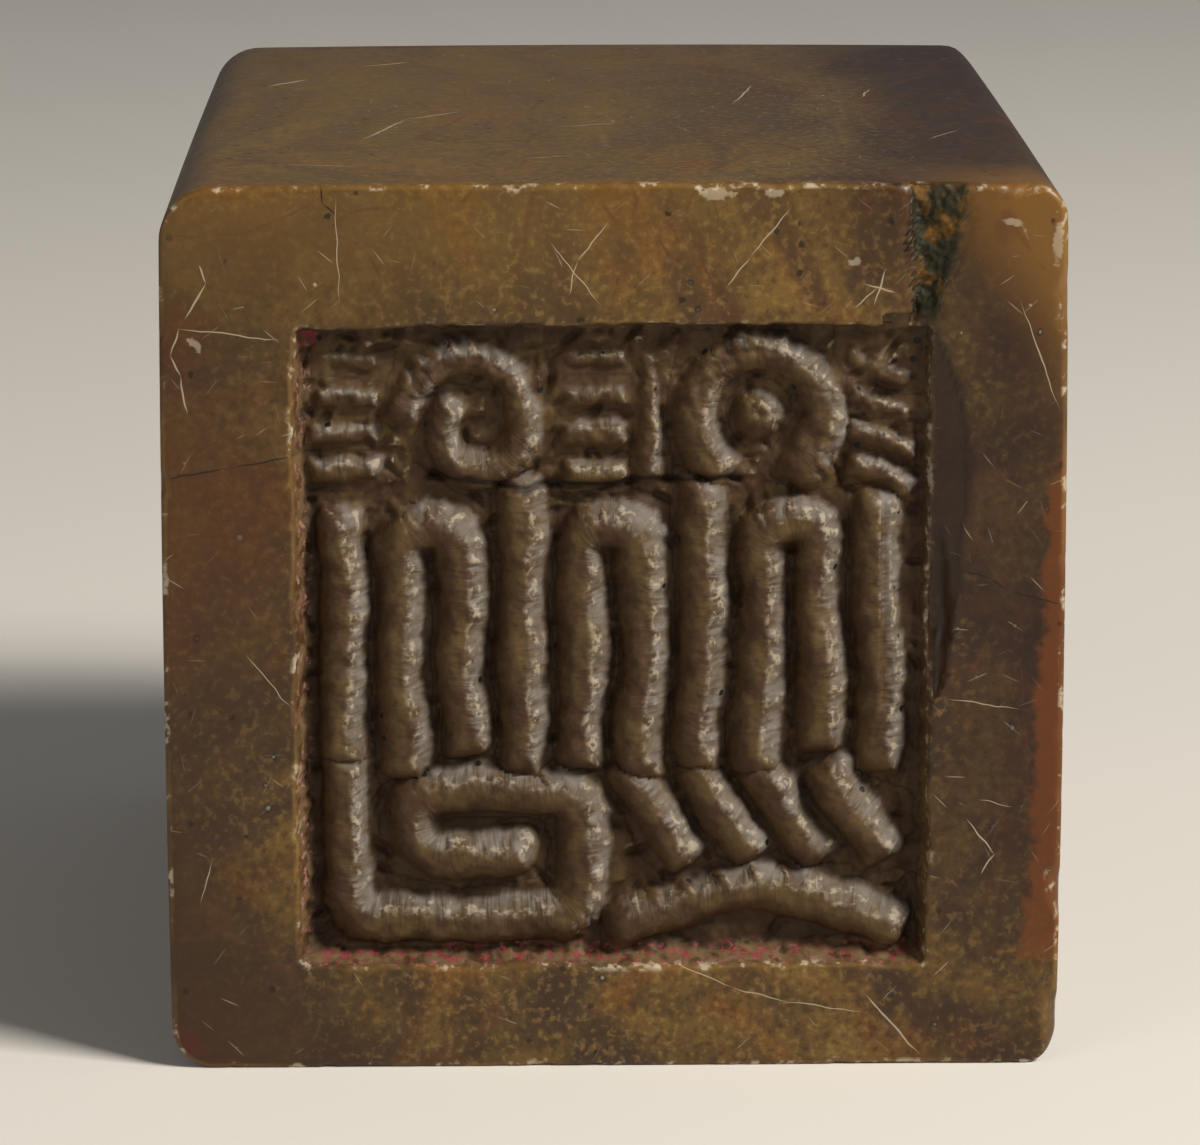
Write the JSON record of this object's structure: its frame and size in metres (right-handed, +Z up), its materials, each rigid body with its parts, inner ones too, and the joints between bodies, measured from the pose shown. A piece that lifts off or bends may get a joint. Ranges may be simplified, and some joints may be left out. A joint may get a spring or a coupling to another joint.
{
  "type": "soapstone seal",
  "caption": "Nearly square block of polished soapstone with a seal face at one end: raised, round-backed strokes in a sunken field inside a flat border.",
  "frame": {"origin": "middle of the block's bounding box in X and Y, at the long side that it lies on", "axes": "+Z is up, +Y runs from the carved end to the plain end, and +X is to the right when the carved end is looked at"},
  "size_m": [0.0304, 0.041, 0.0303],
  "materials": {
    "stone": "worn wax polish, olive brown to reddish brown, slightly translucent"
  },
  "bodies": {
    "root": {"seal": "stone"}
  },
  "joints": []
}
